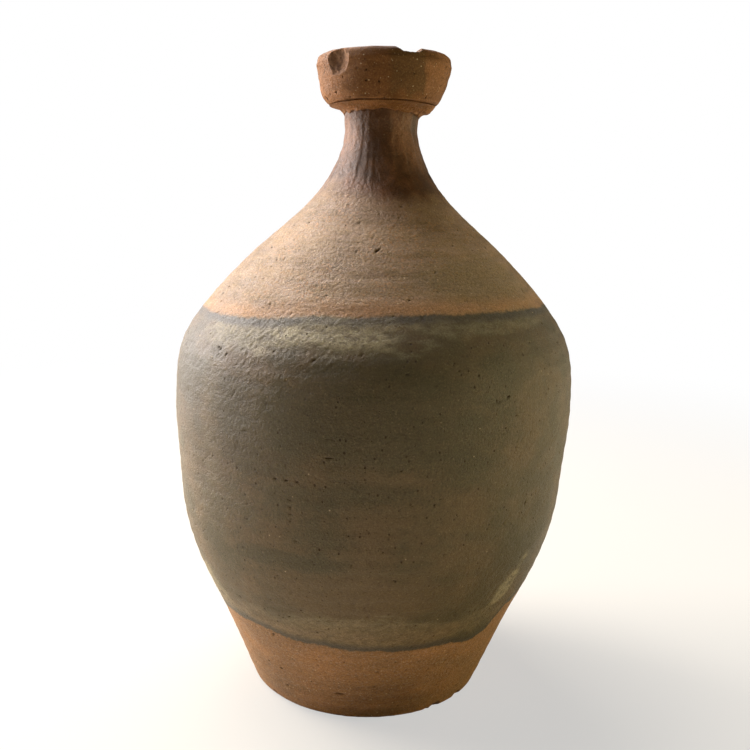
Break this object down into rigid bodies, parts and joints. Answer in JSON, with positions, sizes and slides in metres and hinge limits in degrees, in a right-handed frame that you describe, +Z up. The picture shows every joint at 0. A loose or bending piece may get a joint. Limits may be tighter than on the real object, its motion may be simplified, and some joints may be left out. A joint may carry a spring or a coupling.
{
  "type": "stoneware sake bottle",
  "caption": "Large hand-built stoneware sake bottle: broad ovoid body on a flat foot, sloping shoulder, narrow waisted neck, and a cup-shaped mouth with a worn rim.",
  "frame": {"origin": "centre of the foot's underside, where the bottle stands", "axes": "+Z up the bottle's turning axis to the mouth, the flaked side of the rim faces -Y"},
  "size_m": [0.255, 0.255, 0.4],
  "materials": {
    "foot_clay": "unglazed orange-brown stoneware with grit, satin",
    "iron_wash": "thin grey-olive iron wash over coarse clay, mottled, pitted, satin",
    "shoulder_clay": "bare tan clay, wiped while wet, satin",
    "neck_clay": "dark purple-brown wash over upright folds, satin",
    "mouth_clay": "orange-brown clay with dark runs and grit, satin"
  },
  "bodies": {
    "root": {"base_slab": "foot_clay", "foot_course": "foot_clay", "lower_belly_course": "iron_wash", "belly_course": "iron_wash", "upper_belly_course": "iron_wash", "shoulder_course": "shoulder_clay", "neck": "neck_clay", "luting_collar": "mouth_clay", "mouth_cup": "mouth_clay"}
  },
  "joints": []
}
